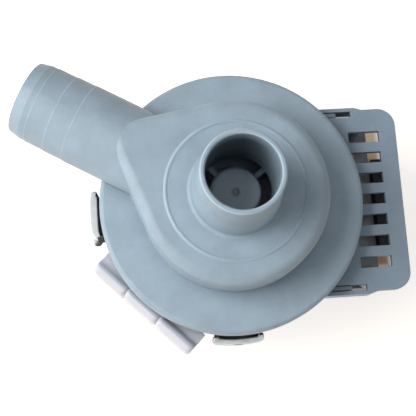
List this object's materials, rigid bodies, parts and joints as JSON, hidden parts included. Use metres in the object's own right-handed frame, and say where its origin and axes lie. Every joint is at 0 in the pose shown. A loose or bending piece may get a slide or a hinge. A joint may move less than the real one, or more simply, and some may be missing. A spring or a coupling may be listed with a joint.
{
  "type": "drain pump",
  "caption": "Washing machine drain pump: vertical inlet spigot over a round volute with a side outlet, a dog-driven impeller on a wet magnet rotor, and a vented two-coil motor behind it.",
  "frame": {"origin": "on the pump's axis, on the plane of the flat back on which it stands", "axes": "+Z along the pump's axis towards the inlet's mouth, +X from the axis to the vented end of the motor"},
  "size_m": [0.1526, 0.1123, 0.1128],
  "materials": {
    "cover_plastic": "satin moulded",
    "housing_plastic": "satin moulded",
    "rear_plastic": "matte moulded",
    "seal_rubber": "matte",
    "impeller_plastic": "matte moulded",
    "retainer_plastic": "matte moulded",
    "shaft_steel": "ground",
    "bearing_bush": "sintered",
    "magnet_ferrite": "ground",
    "carrier_plastic": "moulded",
    "washer_steel": "polished",
    "core_steel": "laminated, varnished",
    "bobbin_nylon": "moulded",
    "winding_tape": "taped",
    "black_plastic": "moulded",
    "zinc_steel": "zinc plated",
    "white_nylon": "moulded",
    "screw_steel": "zinc plated",
    "terminal_brass": "tinned",
    "lead_blue": "PVC",
    "lead_brown": "PVC",
    "lead_green": "PVC"
  },
  "bodies": {
    "pump": {"volute_cover": "cover_plastic", "cover_seal": "seal_rubber", "motor_housing": "housing_plastic", "bearing_retainer": "retainer_plastic", "front_bearing": "bearing_bush", "front_bearing_seat": "seal_rubber", "rear_bearing": "bearing_bush", "rear_bearing_seat": "seal_rubber", "stator_core": "core_steel", "left_bobbin": "bobbin_nylon", "left_winding": "winding_tape", "right_bobbin": "bobbin_nylon", "right_winding": "winding_tape", "coil_end_cover": "black_plastic", "mounting_bracket": "zinc_steel", "rear_cover": "rear_plastic", "front_screws": "screw_steel", "yoke_screws": "screw_steel", "terminal_block": "white_nylon", "neutral_terminal": "terminal_brass", "line_terminal": "terminal_brass", "earth_terminal": "terminal_brass", "neutral_lead": "lead_blue", "line_lead": "lead_brown", "earth_lead": "lead_green"},
    "rotor": {"rotor_shaft": "shaft_steel", "magnet_carrier": "carrier_plastic", "rotor_magnet": "magnet_ferrite", "thrust_washers": "washer_steel", "drive_dog": "impeller_plastic"},
    "impeller": {"impeller": "impeller_plastic", "hub_cover": "impeller_plastic"}
  },
  "joints": [
    {"name": "rotor_spin", "type": "hinge", "parent": "pump", "child": "rotor", "pos_m": [0, 0, 0.03], "axis": [0, 0, 1], "continuous": true},
    {"name": "impeller_play", "type": "hinge", "parent": "rotor", "child": "impeller", "pos_m": [0, 0, 0.068], "axis": [0, 0, 1], "range_deg": [0, 250]}
  ]
}
